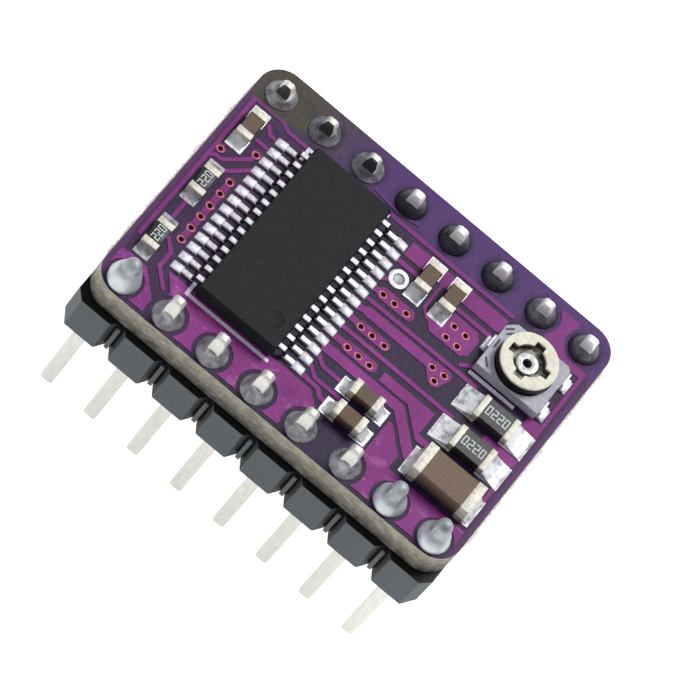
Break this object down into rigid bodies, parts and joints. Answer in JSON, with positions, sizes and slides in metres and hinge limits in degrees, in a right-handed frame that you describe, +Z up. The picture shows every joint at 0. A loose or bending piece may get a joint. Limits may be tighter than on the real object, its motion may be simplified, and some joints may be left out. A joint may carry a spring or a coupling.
{
  "type": "stepper driver module",
  "caption": "Small circuit board on square-pin header rows that drives a stepper motor, with a driver chip, chip parts and a turnable current trimmer.",
  "frame": {"origin": "middle of the footprint, level with the lower tips of the header pins", "axes": "+X along the two pin rows, from the small resistors' end to the trimmer's end; +Y from the front row to the rear row, behind the trimmer; +Z up, out of the parts' side of the board"},
  "size_m": [0.0204, 0.0154, 0.0127],
  "materials": {
    "laminate": "matt, fibrous where it is cut",
    "copper": "satin copper",
    "solder_mask": "purple, satin gloss",
    "board_ink": "matt printed ink",
    "header_plastic": "matt moulded plastic",
    "pin_metal": "tin plated",
    "solder": "bright solder",
    "solder_dull": "dull grey solder",
    "chip_moulding": "matt black epoxy",
    "silicon": "polished silicon",
    "lead_metal": "tin plated copper",
    "capacitor_ceramic": "brown fired ceramic",
    "end_metal": "matt tinned end",
    "resistor_ceramic": "dark fired ceramic",
    "resistive_film": "black resistive film",
    "resistor_coat": "black glass coat",
    "resistor_print": "white print",
    "trimmer_ceramic": "blue-grey ceramic",
    "mark_ink": "black print",
    "rivet_metal": "plated metal",
    "rotor_plastic": "cream moulded plastic"
  },
  "bodies": {
    "board": {"laminate": "laminate", "copper_top": "copper", "copper_bottom": "copper", "mask_top": "solder_mask", "mask_bottom": "solder_mask", "via_barrels": "copper", "hole_barrels": "copper", "silk_top": "board_ink", "strip_front": "header_plastic", "strip_rear": "header_plastic", "pins_front": "pin_metal", "pins_rear": "pin_metal", "solder_front": "solder", "solder_rear": "solder_dull", "chip_body": "chip_moulding", "chip_die": "silicon", "chip_paddle": "lead_metal", "chip_leads_left": "lead_metal", "chip_leads_right": "lead_metal", "chip_solder": "solder", "cap_bodies": "capacitor_ceramic", "cap_ends": "end_metal", "cap_solder": "solder", "resistor_bodies": "resistor_ceramic", "resistor_films": "resistive_film", "resistor_coats": "resistor_coat", "resistor_ends": "end_metal", "resistor_solder": "solder", "resistor_marks": "resistor_print", "sense_bodies": "resistor_ceramic", "sense_films": "resistive_film", "sense_coats": "resistor_coat", "sense_ends": "end_metal", "sense_solder": "solder", "sense_marks": "resistor_print", "bulk_cap_body": "capacitor_ceramic", "bulk_cap_ends": "end_metal", "bulk_cap_solder": "solder", "test_ring": "solder", "trimmer_base": "trimmer_ceramic", "trimmer_track": "resistive_film", "trimmer_terminals": "lead_metal", "trimmer_solder": "solder", "trimmer_marks": "mark_ink", "trimmer_rivet": "rivet_metal"},
    "rotor": {"trimmer_wiper": "rivet_metal", "trimmer_rotor": "rotor_plastic"}
  },
  "joints": [
    {"name": "trimmer_turn", "type": "hinge", "parent": "board", "child": "rotor", "pos_m": [0.00725, 0.00314, 0.01162], "axis": [0, 0, 1], "range_deg": [-110, 110]}
  ]
}
